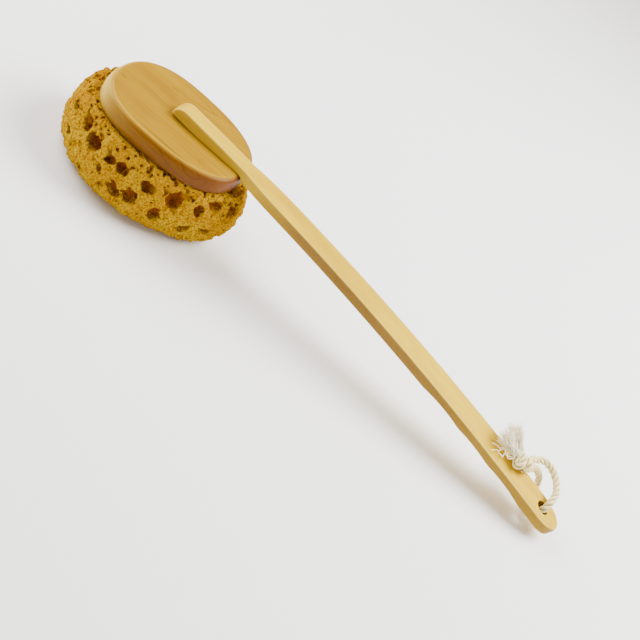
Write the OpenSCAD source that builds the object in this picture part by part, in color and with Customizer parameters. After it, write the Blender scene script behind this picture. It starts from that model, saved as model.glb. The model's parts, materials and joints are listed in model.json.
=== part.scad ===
// Long-handled bath brush with a glued sponge head.
// Frame: +X runs from the head to the grip's tip, +Z is up, and the sponge's flat underside is z = 0.
// The origin is the centre of the base of the whole brush, cord left out.

/* [Overall] */
// Length from the sponge's far end to the grip's tip
overall_l = 439; // [420:1:460]

/* [Sponge] */
// Length of the sponge, along the handle
sponge_l = 136; // [132:1:150]
// Width of the sponge at its widest
sponge_w = 108; // [104:1:114]
// Distance of the widest point from the sponge's free end
sponge_nose = 60; // [54:1:70]
// How far the sponge's free end reaches past the paddle's
sponge_reach = 14.5; // [10:0.5:18]
// Height of the sponge
sponge_h = 48; // [46:1:52]
// Thickness of the glue between sponge and paddle
sponge_glue_t = 0.5; // [0.3:0.1:0.8]

/* [Paddle] */
// Length of the paddle
paddle_l = 109; // [100:1:110]
// Width of the paddle at its widest
paddle_w = 87; // [80:1:88]
// Thickness of the paddle
paddle_t = 12.5; // [11:0.5:14]
// Distance of the widest point from the paddle's free end
paddle_nose = 47; // [44:1:54]
// How far the rounded shoulder reaches in from the rim
shoulder_in = 4; // [3:0.5:5]
// How far the rounded shoulder reaches down from the back
shoulder_down = 4; // [3:0.5:5]

/* [Handle] */
// Radius of the long bend, at the top face
bend_r = 2050; // [1900:10:2300]
// Thickness of the handle stock
stock_t = 8; // [7:0.5:9]
// Height of the handle's top face over the paddle's back, at its head end
head_rise = 9; // [8.5:0.1:9.5]
// Length of the tongue that is lapped on the paddle
tongue_l = 63; // [58:1:66]
// Width of the tongue at its head end
tongue_w = 13.6; // [12:0.2:15]
// Width of the neck, just past the paddle
neck_w = 20.2; // [18:0.2:22]
// Width of the grip
grip_w = 24.8; // [23:0.2:27]
// Distance of the hanging hole from the tip
hole_back = 17; // [15:0.5:20]
// Diameter of the hanging hole
hole_d = 10; // [9:0.5:11]
// Thickness of the glue under the tongue
tongue_glue_t = 0.2; // [0.1:0.1:0.3]

/* [Finger grooves] */
// Number of grooves under the grip
groove_count = 3; // [2:1:4]
// Distance from one groove to the next
groove_pitch = 31; // [26:1:34]
// Depth of a groove
groove_depth = 1.5; // [0.5:0.1:2]
// Radius of a groove
groove_r = 130; // [100:5:160]

/* [Screws] */
// Diameter of a wood screw, over its threads
screw_d = 3.5; // [3:0.1:4]
// Length of a wood screw
screw_l = 16; // [15:0.5:16.5]
// Diameter of a screw's countersunk head
screw_head_d = 7; // [6:0.2:8]
// Distance between the two screws
screw_gap = 28; // [24:1:32]

/* [Hanging loop] */
// Diameter of the twisted cotton rope
rope_d = 5; // [4:0.5:5]
// Length of the overhand knot
knot_l = 16; // [13:0.5:17]
// Width of the knot
knot_w = 13; // [11:0.5:14]
// Height of the knot
knot_h = 11; // [9:0.2:11.2]

/* [Hidden] */

// Colours
wood_pale = [0.88, 0.76, 0.45];
wood_gold = [0.79, 0.63, 0.29];
sponge_ochre = [0.78, 0.58, 0.14];
rope_cream = [0.91, 0.87, 0.74];
glue_clear = [0.85, 0.78, 0.55];
steel_grey = [0.72, 0.72, 0.74];

// Places along the brush
paddle_nose_x = sponge_reach - overall_l / 2;
head_x = paddle_nose_x + paddle_l / 2;
tip_x = overall_l / 2;
hole_x = tip_x - hole_back;
paddle_end_x = head_x + paddle_l / 2;
tongue_x = paddle_end_x - tongue_l;
flare_l = 40;
grip_x = tip_x - 70;
first_groove_x = head_x + 255;
first_screw_x = head_x + 6;

// Heights
paddle_z = sponge_h + sponge_glue_t;
back_z = paddle_z + paddle_t;
tongue_z = back_z + tongue_glue_t;

// The long bend: its centre lies below the head, and bend_lead short of it
bend_lead = 118.5;
bend_x = head_x - bend_lead;
bend_rise = bend_r * (1 - cos(asin((bend_lead + 2) / bend_r)));
bend_z = back_z + head_rise + bend_rise - bend_r;
inner_r = bend_r - stock_t;

// Where the hanging hole crosses the middle of the stock
hole_tilt = asin((hole_x - bend_x) / bend_r);
mid_r = bend_r - stock_t / 2;
hole_mid = [bend_x + mid_r * sin(hole_tilt), 0, bend_z + mid_r * cos(hole_tilt)];

// Fits
slack = 0.3;
screw_clear = 0.15;
thread_bite = 0.3;
head_cone_h = (screw_head_d - screw_d) / 2;
screw_sink = 0.3;
film_inset = 2.5;
rim_chamfer = 0.8;
tip_round = 5;
far = 40;

// Outline exponents: 2 is an ellipse, more is squarer
nose_power = 2.4;
heel_power = 2.5;
sponge_power = 1.82;

outline_sides = 72;
bend_fn = 1440;
round_fn = 48;
rope_sides = 10;
blob_sides = 20;

// Sponge profile: inset from the widest outline, and height as a share of sponge_h
sponge_profile = [
    [14, 0], [10.5, 0.04], [5.3, 0.12], [2.2, 0.24], [0, 0.42], [0, 0.6], [1.3, 0.77], [3.6, 0.9], [6.5, 1]
];

// Rope route from the knot over the grip's edge, through the hole and back, in the hole's own
// frame: along the grip towards the tip, across it, and out of its top face
route = [
    [-31.5, 9.8, 10.8], [-28.5, 14.3, 10.7], [-27, 18.3, 10.6], [-23.5, 22.5, 10.5], [-19.5, 26, 11.5],
    [-14.5, 27.5, 12], [-9, 27, 12], [-4.5, 24, 12], [-1, 19.5, 11.5], [1, 14.5, 11],
    [1.5, 9.5, 10], [1.5, 4, 8], [1.5, 1.3, 5], [1.5, 0, 0], [1.5, 1.3, -5], [1.5, 4, -8],
    [1.5, 9.5, -10], [0.5, 14.5, -9.5], [-1.5, 19.5, -8], [-4.5, 23.5, -5], [-8, 25.5, -1],
    [-12, 24.5, 2.5], [-17, 21.5, 5.5], [-22, 16.5, 7.5], [-25.5, 10.5, 8], [-28, 6, 8.3],
    [-31, 2.5, 8.6]
];
route_steps = 3;

knot_at = [-35, 4, 9.8];
knot_turn = 15;

// Frayed tails: root, end, root radius, half width and half height at the end
tail_a = [[-38.5, 2, 10], [-57, 2, 10.5], 2.8, 6.5, 4.7];
tail_b = [[-38.5, 5, 11], [-52.5, 17, 14.5], 2.8, 6.5, 4.7];
tail_rings = 6;

// ---- helpers ----

function side(v) = v < 0 ? -1 : 1;

// One point of an egg-shaped outline: half_w wide, nose long towards -X and heel towards +X
function egg_point(a, half_w, nose, heel, pn, ph) =
    let (c = cos(a), s = sin(a), len = c < 0 ? nose : heel, p = c < 0 ? pn : ph)
    [side(c) * len * pow(abs(c), 2 / p), side(s) * half_w * pow(abs(s), 2 / p)];

// The outward normal there
function egg_normal(q, half_w, nose, heel, pn, ph) =
    let (len = q[0] < 0 ? nose : heel, p = q[0] < 0 ? pn : ph)
    let (nx = side(q[0]) * pow(abs(q[0]) / len, p - 1) / len)
    let (ny = side(q[1]) * pow(abs(q[1]) / half_w, p - 1) / half_w)
    [nx, ny] / norm([nx, ny]);

// The outline, moved in by inset
function egg(inset, half_w, nose, heel, pn, ph) = [
    for (i = [0 : outline_sides - 1])
        let (a = (i + 0.5) * 360 / outline_sides, q = egg_point(a, half_w, nose, heel, pn, ph))
        q - inset * egg_normal(q, half_w, nose, heel, pn, ph)
];

function paddle_outline(inset) = [
    for (q = egg(inset, paddle_w / 2, paddle_nose, paddle_l - paddle_nose, nose_power, heel_power))
        q + [paddle_nose_x + paddle_nose, 0]
];

function sponge_outline(inset) = [
    for (q = egg(inset, sponge_w / 2, sponge_nose, sponge_l - sponge_nose, sponge_power, sponge_power))
        q + [sponge_nose - overall_l / 2, 0]
];

function lifted(outline, z) = [for (q = outline) [q[0], q[1], z]];

// A closed solid through a stack of rings with the same number of points
module loft(rings) {
    n = len(rings[0]);
    last = len(rings) - 1;
    walls = [
        for (k = [0 : last - 1], j = [0 : n - 1])
            let (m = (j + 1) % n)
            each [
                [k * n + j, (k + 1) * n + j, (k + 1) * n + m],
                [k * n + j, (k + 1) * n + m, k * n + m]
            ]
    ];
    floor_face = [for (j = [0 : n - 1]) j];
    roof_face = [for (j = [n - 1 : -1 : 0]) last * n + j];
    polyhedron([for (r = rings) each r], concat([floor_face], walls, [roof_face]), convexity = 6);
}

// Catmull-Rom curve through the points, with steps points for each stretch
function curve(p, steps) = [
    for (i = [0 : len(p) - 2], k = [0 : steps - 1])
        let (t = k / steps, a = p[max(i - 1, 0)], b = p[i], c = p[i + 1])
        let (d = p[min(i + 2, len(p) - 1)])
        0.5 * (2 * b + (c - a) * t + (2 * a - 5 * b + 4 * c - d) * t * t
            + (3 * b - a - 3 * c + d) * t * t * t),
    p[len(p) - 1]
];

function unit(v) = v / norm(v);

// A ring of radius r about a point, square to the direction of travel
function tube_ring(at, along, r) =
    let (u = unit(cross(along, [1, 0.2, 0.1])), v = cross(unit(along), u))
    [for (j = [0 : rope_sides - 1]) at + r * (cos(j * 360 / rope_sides) * u
        + sin(j * 360 / rope_sides) * v)];

// Carries a child from the hanging hole's own frame to the brush
module at_hole() {
    translate(hole_mid) rotate([0, hole_tilt, 0]) children();
}

// A bar across the brush, along Y
module cross_bar(x, z, r, w, fn) {
    translate([x, w / 2, z]) rotate([90, 0, 0]) cylinder(r = r, h = w, $fn = fn);
}

// ---- handle ----

function smooth(t) = t * t * (3 - 2 * t);

// Half the handle's width where it flares from the tongue to the neck, fast at first
tongue_grow = 0.8;
function flare_half(t) = neck_w / 2 - (neck_w - tongue_w - tongue_grow) / 2 * pow(1 - t, 2.5);

handle_half = [
    [tongue_x, tongue_w / 2],
    for (k = [0 : 8]) [paddle_end_x + flare_l * k / 8, flare_half(k / 8)],
    [grip_x, grip_w / 2],
    for (a = [90 : -6 : 6]) [hole_x + hole_back * cos(a), grip_w / 2 * sin(a)],
    [tip_x, 0]
];

handle_plan = concat(
    [for (q = handle_half) [q[0], -q[1]]],
    [for (i = [len(handle_half) - 2 : -1 : 0]) handle_half[i]]
);

// The stock, bent and cut to its plan
module handle_stock() {
    intersection() {
        linear_extrude(height = back_z + far) polygon(handle_plan);
        cross_bar(bend_x, bend_z, bend_r, far, bend_fn);
    }
}

// Everything below the handle: the paddle under the tongue, then the inner side of the bend
module handle_underside() {
    notch_x = paddle_end_x + slack;
    difference() {
        translate([tongue_x - far, -far, 0]) cube([notch_x - tongue_x + far, 2 * far, tongue_z]);
        difference() {
            translate([notch_x - shoulder_in, -far, tongue_z - shoulder_down])
                cube([shoulder_in + 1, 2 * far, shoulder_down + 1]);
            cross_bar(notch_x - shoulder_in, tongue_z - shoulder_down, shoulder_in, 3 * far, round_fn);
        }
    }
    intersection() {
        translate([notch_x - 0.01, -far, -far]) cube([overall_l, 2 * far, back_z + far]);
        cross_bar(bend_x, bend_z, inner_r, 2 * far, bend_fn);
    }
}

// Rounds the top of the head end
module head_corner() {
    difference() {
        translate([tongue_x - 1, -far, back_z]) cube([head_rise + 1, 2 * far, head_rise + 2]);
        cross_bar(tongue_x + head_rise, back_z, head_rise, 3 * far, round_fn);
    }
}

// Rounds the underside of the tip
module tip_corner() {
    at_hole() difference() {
        translate([hole_back - tip_round, -far, -stock_t]) cube([far, 2 * far, stock_t / 2 + tip_round]);
        cross_bar(hole_back - tip_round, tip_round - stock_t / 2, tip_round, 3 * far, round_fn);
    }
}

module finger_grooves() {
    for (i = [0 : groove_count - 1]) {
        a = asin((first_groove_x + i * groove_pitch - bend_x) / inner_r);
        r = inner_r - groove_r + groove_depth;
        cross_bar(bend_x + r * sin(a), bend_z + r * cos(a), groove_r, 2 * far, 720);
    }
}

module screw_places() {
    for (i = [0, 1]) translate([first_screw_x + i * screw_gap, 0, paddle_z]) children();
}

module handle() {
    pilot_r = screw_d / 2 - thread_bite;
    color(wood_pale) difference() {
        handle_stock();
        handle_underside();
        head_corner();
        tip_corner();
        finger_grooves();
        at_hole() cylinder(d = hole_d, h = 3 * stock_t, center = true, $fn = round_fn);
        screw_places() cylinder(r = pilot_r, h = screw_sink + screw_l, $fn = round_fn);
    }
}

// ---- paddle ----

// Shoulder of the paddle: a small step, then a quarter round up to the back
step_in = 0.5;
shoulder_profile = [
    for (a = [0 : 15 : 90])
        [step_in + (shoulder_in - step_in) * (1 - cos(a)), back_z - shoulder_down * (1 - sin(a))]
];

paddle_profile = concat(
    [
        [rim_chamfer, paddle_z],
        [0, paddle_z + rim_chamfer],
        [0, back_z - shoulder_down - step_in / 2]
    ],
    shoulder_profile
);

module paddle() {
    hole_r = screw_d / 2 + screw_clear;
    color(wood_gold) difference() {
        loft([for (p = paddle_profile) lifted(paddle_outline(p[0]), p[1])]);
        screw_places() {
            translate([0, 0, -1]) cylinder(r = hole_r, h = paddle_t + 2, $fn = round_fn);
            translate([0, 0, screw_sink]) cylinder(
                r1 = screw_head_d / 2, r2 = screw_d / 2, h = head_cone_h, $fn = round_fn);
            translate([0, 0, -1]) cylinder(d = screw_head_d, h = 1 + screw_sink, $fn = round_fn);
        }
    }
}

// ---- fasteners and glue ----

thread_pitch = 1.6;
thread_count = 6;
screw_tip_l = 3;

// Half section of a wood screw, head down: cone head, plain shank, ridged thread and point
thread_z = screw_l - screw_tip_l - thread_count * thread_pitch;
screw_section = concat(
    [[0, 0], [screw_head_d / 2, 0], [screw_d / 2, head_cone_h]],
    [
        for (i = [0 : thread_count - 1])
            each [
                [screw_d / 2 - 0.6, thread_z + (i + 0.15) * thread_pitch],
                [screw_d / 2, thread_z + (i + 0.85) * thread_pitch]
            ]
    ],
    [[screw_d / 2 - 0.4, screw_l - screw_tip_l], [0, screw_l]]
);

module handle_screws() {
    recess_w = 1;
    recess_l = 4;
    recess_h = 1.4;
    color(steel_grey) screw_places() translate([0, 0, screw_sink]) difference() {
        rotate_extrude($fn = round_fn) polygon(screw_section);
        for (turn = [0, 90])
            rotate([0, 0, turn]) translate([-recess_l / 2, -recess_w / 2, -1])
                cube([recess_l, recess_w, 1 + recess_h]);
    }
}

module handle_glue() {
    film_w = tongue_w - 1;
    film_l = tongue_l - shoulder_in - 2;
    color(glue_clear) difference() {
        translate([tongue_x + 1, -film_w / 2, back_z]) cube([film_l, film_w, tongue_glue_t]);
        screw_places() cylinder(r = screw_d / 2 + screw_clear, h = far, $fn = round_fn);
    }
}

module sponge_glue() {
    color(glue_clear) translate([0, 0, sponge_h]) linear_extrude(height = sponge_glue_t)
        polygon(paddle_outline(film_inset));
}

// ---- sponge ----

module sponge() {
    color(sponge_ochre)
        loft([for (p = sponge_profile) lifted(sponge_outline(p[0]), p[1] * sponge_h)]);
}

// ---- hanging loop ----

module hang_rope() {
    path = curve(route, route_steps);
    last = len(path) - 1;
    color(rope_cream) at_hole() loft([
        for (i = [0 : last])
            tube_ring(path[i], path[min(i + 1, last)] - path[max(i - 1, 0)], rope_d / 2)
    ]);
}

// A rounded lump, from rings of an ellipsoid with flattened ends
function blob_rings(l, w, h) = [
    for (b = [-78 : 13 : 78])
        [
            for (j = [0 : blob_sides - 1])
                let (a = j * 360 / blob_sides)
                [l / 2 * cos(b) * cos(a), w / 2 * cos(b) * sin(a), h / 2 * sin(b) / sin(78)]
        ]
];

module rope_knot() {
    color(rope_cream) at_hole() translate(knot_at) rotate([0, 0, knot_turn])
        loft(blob_rings(knot_l, knot_w, knot_h));
}

// A flattened ring between the root and the end of a frayed tail
function tail_ring(tail, t) =
    let (along = unit(tail[1] - tail[0]), across = unit(cross([0, 0, 1], along)))
    let (up = cross(along, across), wide = tail[2] + (tail[3] - tail[2]) * smooth(t))
    let (high = tail[2] + (tail[4] - tail[2]) * smooth(t), at = tail[0] + t * (tail[1] - tail[0]))
    [
        for (j = [0 : blob_sides - 1])
            at + wide * cos(j * 360 / blob_sides) * across + high * sin(j * 360 / blob_sides) * up
    ];

module rope_tails() {
    color(rope_cream) at_hole() for (tail = [tail_a, tail_b])
        loft([for (k = [0 : tail_rings]) tail_ring(tail, k / tail_rings)]);
}

handle();
paddle();
handle_screws();
handle_glue();
sponge();
sponge_glue();
hang_rope();
rope_knot();
rope_tails();
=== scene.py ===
"""Long-handled bath sponge brush: the finished look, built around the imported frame."""

import json
import math

import bmesh
import bpy
import numpy as np
from mathutils import Matrix, Vector


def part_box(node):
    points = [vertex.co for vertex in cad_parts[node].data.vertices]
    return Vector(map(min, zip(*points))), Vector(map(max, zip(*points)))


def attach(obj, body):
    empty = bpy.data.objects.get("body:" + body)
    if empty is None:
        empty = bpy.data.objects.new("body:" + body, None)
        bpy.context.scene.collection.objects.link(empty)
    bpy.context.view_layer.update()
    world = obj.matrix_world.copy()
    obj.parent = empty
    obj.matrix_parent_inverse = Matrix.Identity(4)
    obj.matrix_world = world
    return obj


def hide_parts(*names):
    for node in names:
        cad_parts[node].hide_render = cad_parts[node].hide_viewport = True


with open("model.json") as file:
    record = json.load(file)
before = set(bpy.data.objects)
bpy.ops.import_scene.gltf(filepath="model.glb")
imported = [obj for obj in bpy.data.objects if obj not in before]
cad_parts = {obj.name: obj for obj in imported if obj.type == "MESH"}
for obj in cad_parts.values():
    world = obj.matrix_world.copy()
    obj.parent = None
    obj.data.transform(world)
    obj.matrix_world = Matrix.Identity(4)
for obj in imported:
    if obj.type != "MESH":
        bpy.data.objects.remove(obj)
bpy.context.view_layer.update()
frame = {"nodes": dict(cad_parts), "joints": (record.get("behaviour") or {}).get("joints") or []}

# ---- sizes in millimetres, from the frame and as in part.scad ----

MM = 0.001
HEAD_X = -150.5

# Sponge: reach each way from its widest place, which lies SPONGE_WIDE from HEAD_X
SPONGE_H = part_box("sponge")[1][2] / MM
SPONGE_HALF_W = 54
SPONGE_NOSE, SPONGE_HEEL = 60, 76
SPONGE_WIDE = -9
SPONGE_POWER = 1.82
# Inset of its side, and the share of its height
SPONGE_PROFILE = [
    (14, 0), (10.5, 0.04), (5.3, 0.12), (2.2, 0.24), (0, 0.42), (0, 0.6), (1.3, 0.77), (3.6, 0.9),
    (6.5, 1)
]

# Paddle: its underside and its back, and reach each way from its widest place
PADDLE_Z, BACK_Z = (corner[2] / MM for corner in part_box("paddle"))
PADDLE_HALF_W = 43.5
PADDLE_NOSE, PADDLE_HEEL = 47, 62
PADDLE_MID_X = HEAD_X - 7.5
NOSE_POWER, HEEL_POWER = 2.4, 2.5
SHOULDER_IN, SHOULDER_DOWN, STEP_IN = 4, 4, 0.3

# Handle: a tongue on the paddle, a flare at the neck, and a grip up to the tip
TIP_X = 219.5
TIP_REACH = 17
HOLE_X = TIP_X - TIP_REACH
HOLE_R = 5
PADDLE_END_X = HEAD_X + 54.5
TONGUE_X = PADDLE_END_X - 63
TONGUE_Z = BACK_Z + 0.2
HEAD_RISE = 9
TONGUE_W, NECK_W, GRIP_W = 13.6, 20.2, 24.8
TONGUE_WIDENS = 0.8
FLARE_L = 40
GRIP_X = TIP_X - 70
BEND_R, STOCK = 2050, 8
BEND_X = HEAD_X - 118.5
BEND_Z = BACK_Z + HEAD_RISE + BEND_R * (1 - math.cos(math.asin(120.5 / BEND_R))) - BEND_R
GROOVES_X = [HEAD_X + 255, HEAD_X + 286, HEAD_X + 317]
GROOVE_R, GROOVE_DEPTH = 130, 1.5
TIP_ROUND = 5

ROPE_R = 2.5

# The hanging hole's own frame: along the grip, across it, and out of its top face
swing = frame["joints"][0]
HOLE_MID = np.array(swing["pos_m"]) / MM
OUT = np.array(swing["axis"]) / np.linalg.norm(swing["axis"])
ACROSS = np.array([0.0, 1.0, 0.0])
ALONG = np.cross(ACROSS, OUT)
HOLE_FRAME = np.array([ALONG, ACROSS, OUT])


def at_hole(points):
    """Points of the hole's own frame, in the row frame."""
    return HOLE_MID + np.asarray(points, float) @ HOLE_FRAME


# ---- camera ----


def add_camera():
    """The photograph's view: above the near side, rolled so that the handle runs down to the right."""
    elevation, azimuth, roll = (math.radians(a) for a in (35.365, -1.984, 42.649))
    target = Vector((3.887, 0, 12.61)) * MM
    distance = 807.7 * MM
    forward = Vector((
        -math.sin(azimuth) * math.cos(elevation), math.cos(azimuth) * math.cos(elevation),
        -math.sin(elevation)))
    level = Vector((math.cos(azimuth), math.sin(azimuth), 0))
    upright = level.cross(forward)
    right = level * math.cos(roll) + upright * math.sin(roll)
    up = upright * math.cos(roll) - level * math.sin(roll)
    camera = bpy.data.objects.new("camera", bpy.data.cameras.new("camera"))
    bpy.context.collection.objects.link(camera)
    camera.data.sensor_width = 36
    camera.data.lens = 66.78
    camera.data.clip_start = 0.01
    turn = Matrix((right, up, -forward)).transposed().to_4x4()
    camera.matrix_world = Matrix.Translation(target - forward * distance) @ turn
    bpy.context.scene.camera = camera


add_camera()

# ---- mesh helpers, in millimetres ----


def unit(v):
    v = np.asarray(v, float)
    return v / np.linalg.norm(v, axis=-1, keepdims=True)


def smooth(t):
    t = np.clip(t, 0, 1)
    return t * t * (3 - 2 * t)


def curve(points, steps):
    """Catmull-Rom curve through the points, with steps points for each stretch."""
    p = np.asarray(points, float)
    p = np.vstack([p[:1], p, p[-1:]])
    t = np.linspace(0, 1, steps, endpoint=False)[:, None]
    rows = []
    for a, b, c, d in zip(p, p[1:], p[2:], p[3:]):
        rows.append(0.5 * (2 * b + (c - a) * t + (2 * a - 5 * b + 4 * c - d) * t**2
                           + (3 * b - a - 3 * c + d) * t**3))
    return np.vstack(rows + [p[-1:]])


def travelled(points):
    """Way along the line up to each of its points."""
    return np.concatenate([[0], np.cumsum(np.linalg.norm(np.diff(points, axis=0), axis=1))])


def even(points, step):
    """The same line, with points step apart."""
    way = travelled(points)
    at = np.linspace(0, way[-1], max(int(way[-1] / step), 2) + 1)
    return np.stack([np.interp(at, way, points[:, k]) for k in range(3)], axis=1)


def carried_frame(points):
    """Tangent, normal and binormal at each point, carried along without twist."""
    tangent = unit(np.gradient(points, axis=0))
    normal = np.empty_like(tangent)
    carry = np.cross(tangent[0], [0.3, 0.5, 0.8])
    for i, t in enumerate(tangent):
        carry = unit(carry - t * (carry @ t))
        normal[i] = carry
    return tangent, normal, np.cross(tangent, normal)


class Sheets:
    """Gathers vertices and faces of one piece."""

    def __init__(self):
        self.blocks, self.faces, self.values, self.count = [], [], {}, 0

    def add(self, verts, faces, **values):
        verts = np.asarray(verts, float).reshape(-1, 3)
        self.blocks.append(verts)
        self.faces += [tuple(int(i) + self.count for i in f) for f in faces]
        for key, value in values.items():
            self.values.setdefault(key, []).append(np.broadcast_to(value, len(verts)))
        self.count += len(verts)

    def piece(self, name, material, body, node, slot, weld=None):
        """Puts the smooth mesh in the scene, on its body and in place of its CAD node."""
        mesh = bpy.data.meshes.new(name)
        mesh.from_pydata(np.vstack(self.blocks) * MM, [], self.faces)
        for key, blocks in self.values.items():
            layer = mesh.attributes.new(key, "FLOAT", "POINT")
            layer.data.foreach_set("value", np.concatenate(blocks).astype(np.float32))
        if weld:
            work = bmesh.new()
            work.from_mesh(mesh)
            bmesh.ops.remove_doubles(work, verts=work.verts, dist=weld * MM)
            bmesh.ops.recalc_face_normals(work, faces=work.faces)
            work.to_mesh(mesh)
            work.free()
        mesh.update()
        mesh.polygons.foreach_set("use_smooth", [True] * len(mesh.polygons))
        mesh.materials.append(material)
        piece = bpy.data.objects.new(name, mesh)
        bpy.context.collection.objects.link(piece)
        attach(piece, body)
        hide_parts(node)
        return piece


def tube(points, radius, sides, ridges=0, ridge_depth=0.0, ridge_turn=0.0):
    """Verts and faces of a closed tube. radius is one number or one for each point."""
    p = np.asarray(points, float)
    _, normal, binormal = carried_frame(p)
    angle = np.arange(sides) * 2 * math.pi / sides
    wave = 1 + ridge_depth * np.cos(ridges * angle[None, :] + ridge_turn * travelled(p)[:, None])
    r = np.reshape(radius, (-1, 1)) * wave
    ring = (p[:, None] + (r * np.cos(angle))[..., None] * normal[:, None]
            + (r * np.sin(angle))[..., None] * binormal[:, None])
    verts = np.vstack([ring.reshape(-1, 3), p[:1], p[-1:]])
    start, end = len(verts) - 2, len(verts) - 1
    last = (len(p) - 1) * sides
    faces = []
    for j in range(sides):
        m = (j + 1) % sides
        faces += [(i + j, i + m, i + sides + m, i + sides + j) for i in range(0, last, sides)]
        faces.append((start, m, j))
        faces.append((end, last + j, last + m))
    return verts, faces


def stack(rings, sides):
    """Faces of a stack of rings, all of the same number of sides, with both ends closed."""
    last = (rings - 1) * sides
    faces = [
        (low + j, low + (j + 1) % sides, low + sides + (j + 1) % sides, low + sides + j)
        for low in range(0, last, sides) for j in range(sides)]
    return faces + [tuple(range(sides))[::-1], tuple(range(last, last + sides))]


class Shell:
    """Vertices of a wooden piece, each with its share of painted wall shade and of lighter edge (a
    painted highlight, on the handle partly rubbed wear), and its faces.
    """

    def __init__(self):
        self.verts, self.sides, self.edges, self.faces = [], [], [], []

    def vert(self, p, side=0.0, edge=0.0):
        self.verts.append(p)
        self.sides.append(side)
        self.edges.append(edge)
        return len(self.verts) - 1

    def strip(self, a, b, closed=False):
        """Quads between two rows of vertices, or between two rings."""
        for k in range(len(a) if closed else len(a) - 1):
            m = (k + 1) % len(a)
            self.faces.append((a[k], a[m], b[m], b[k]))

    def ladder(self, rows, skip=lambda i, c: False):
        """Quads between neighbouring rows of vertices, except those that skip picks."""
        for i, (a, b) in enumerate(zip(rows, rows[1:])):
            for c in range(len(a) - 1):
                if not skip(i, c):
                    self.faces.append((a[c], b[c], b[c + 1], a[c + 1]))

    def piece(self, name, material, node, slot):
        sheets = Sheets()
        sheets.add(self.verts, self.faces, side=self.sides, edge=self.edges)
        sheets.piece(name, material, "brush", node, slot, weld=0.002)


# ---- procedural materials ----


class Nodes:
    """A short way to lay out a material's nodes."""

    def __init__(self, name):
        self.material = bpy.data.materials.new(name)
        self.material.use_nodes = True
        self.tree = self.material.node_tree
        self.shader = self.tree.nodes["Principled BSDF"]

    def add(self, kind, inputs=(), **settings):
        node = self.tree.nodes.new(kind)
        for key, value in settings.items():
            setattr(node, key, value)
        for key, value in dict(inputs).items():
            self.put(node.inputs[key], value)
        return node

    def put(self, socket, value):
        if isinstance(value, bpy.types.NodeSocket):
            self.tree.links.new(value, socket)
        else:
            socket.default_value = value

    def set(self, **values):
        """Links or constants for the shader's own sockets."""
        for key, value in values.items():
            self.put(self.shader.inputs[key.replace("_", " ")], value)

    def place(self, scale, rotation=(0, 0, 0)):
        coords = self.add("ShaderNodeTexCoord").outputs["Object"]
        turned = self.add("ShaderNodeMapping", {"Vector": coords, "Rotation": rotation})
        return self.add("ShaderNodeMapping", {"Vector": turned.outputs[0], "Scale": scale}).outputs[0]

    def noise(self, vector, detail=2.0, roughness=0.5, distortion=0.0):
        return self.add("ShaderNodeTexNoise", {
            "Vector": vector, "Scale": 1.0, "Detail": detail, "Roughness": roughness,
            "Distortion": distortion}).outputs["Fac"]

    def span(self, value, low, high, to_low=0.0, to_high=1.0):
        return self.add("ShaderNodeMapRange", {
            "Value": value, "From Min": low, "From Max": high, "To Min": to_low,
            "To Max": to_high}).outputs[0]

    def math(self, operation, a, b):
        return self.add("ShaderNodeMath", {0: a, 1: b}, operation=operation).outputs[0]

    def mix(self, factor, a, b, blend="MIX"):
        node = self.add("ShaderNodeMix", data_type="RGBA", blend_type=blend)
        self.put(node.inputs[0], factor)
        self.put(node.inputs[6], a)
        self.put(node.inputs[7], b)
        return node.outputs[2]

    def value_of(self, name):
        return self.add("ShaderNodeAttribute", attribute_name=name).outputs["Fac"]

    def bump(self, height, distance, strength):
        return self.add("ShaderNodeBump", {
            "Height": height, "Distance": distance, "Strength": strength}).outputs[0]


def rgb(r, g, b):
    return (r, g, b, 1)


# Small dark grain marks on the paddle's back
PADDLE_FLECKS = [
    ((HEAD_X - 46, -9, 0), 7, 1.1), ((HEAD_X - 20, 21, 0), 9, 0.8), ((HEAD_X + 28, -25, 0), 6, 0.8)
]


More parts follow.
